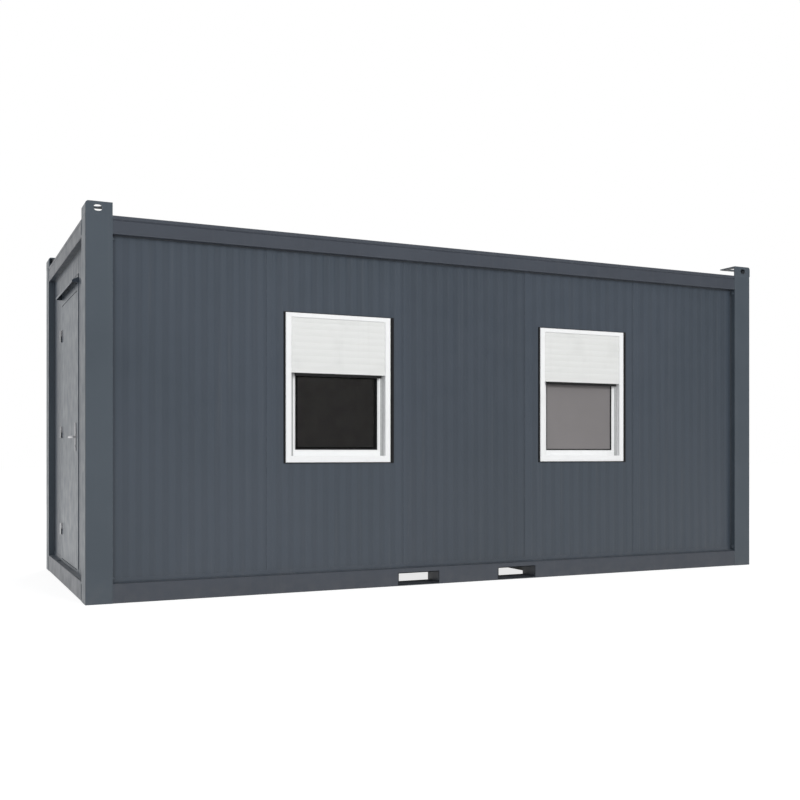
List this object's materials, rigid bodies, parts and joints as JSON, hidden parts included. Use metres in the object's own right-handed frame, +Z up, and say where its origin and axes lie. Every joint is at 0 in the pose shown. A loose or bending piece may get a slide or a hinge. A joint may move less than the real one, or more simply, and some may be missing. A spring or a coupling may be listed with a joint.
{
  "type": "portable site cabin",
  "caption": "Flat-sided portable cabin on a steel frame with ribbed sandwich walls, shuttered windows, a gable door, fork pockets and lifting corner fittings.",
  "frame": {"origin": "middle of the footprint, on the ground", "axes": "+X along the cabin towards the far gable, +Y from the windowed front to the back, +Z up; the door is in the gable at -X"},
  "size_m": [6.058, 2.438, 2.8],
  "materials": {
    "frame_paint": "slate grey satin paint on rolled steel",
    "panel_paint": "slate grey coil-coated sheet, finely ribbed",
    "door_paint": "slate grey satin powder coat",
    "underfloor_steel": "dull primer grey",
    "roof_sheet": "dull galvanized sheet",
    "floor_board": "grey vinyl on board",
    "lining": "white lining board",
    "white_pvc": "white moulded PVC, satin",
    "shutter_slats": "white PVC slats, satin",
    "glass": "double glazing",
    "ironmongery": "satin steel"
  },
  "bodies": {
    "cabin": {"back_panel_1": "panel_paint", "back_panel_2": "panel_paint", "back_panel_3": "panel_paint", "back_panel_4": "panel_paint", "back_panel_5": "panel_paint", "ceiling_panel": "lining", "door_canopy": "panel_paint", "door_end_panel_above": "panel_paint", "door_end_panel_back": "panel_paint", "door_end_panel_front": "panel_paint", "door_frame": "door_paint", "far_end_panel_1": "panel_paint", "far_end_panel_2": "panel_paint", "floor_deck": "floor_board", "floor_joists": "underfloor_steel", "floor_pan": "underfloor_steel", "floor_rail_back": "frame_paint", "floor_rail_door_end": "frame_paint", "floor_rail_far_end": "frame_paint", "floor_rail_front": "frame_paint", "front_panel_1": "panel_paint", "front_panel_2": "panel_paint", "front_panel_3": "panel_paint", "front_panel_4": "panel_paint", "front_panel_5": "panel_paint", "hinge_frame_halves": "ironmongery", "post_door_end_back": "frame_paint", "post_door_end_front": "frame_paint", "post_far_end_back": "frame_paint", "post_far_end_front": "frame_paint", "roof_rail_back": "frame_paint", "roof_rail_door_end": "frame_paint", "roof_rail_far_end": "frame_paint", "roof_rail_front": "frame_paint", "roof_sheet": "roof_sheet", "shutter_curtain_left": "shutter_slats", "shutter_curtain_right": "shutter_slats", "top_corner_fittings": "frame_paint", "window_frame_left": "white_pvc", "window_frame_right": "white_pvc", "window_glass_left": "glass", "window_glass_right": "glass", "window_sashes": "white_pvc"},
    "door": {"door_leaf": "door_paint", "hinge_leaf_halves": "ironmongery", "door_handle": "ironmongery"}
  },
  "joints": [
    {"name": "door_swing", "type": "hinge", "parent": "cabin", "child": "door", "pos_m": [-2.992, 0.461, 1.2], "axis": [0, 0, -1], "range_deg": [0, 110]}
  ]
}
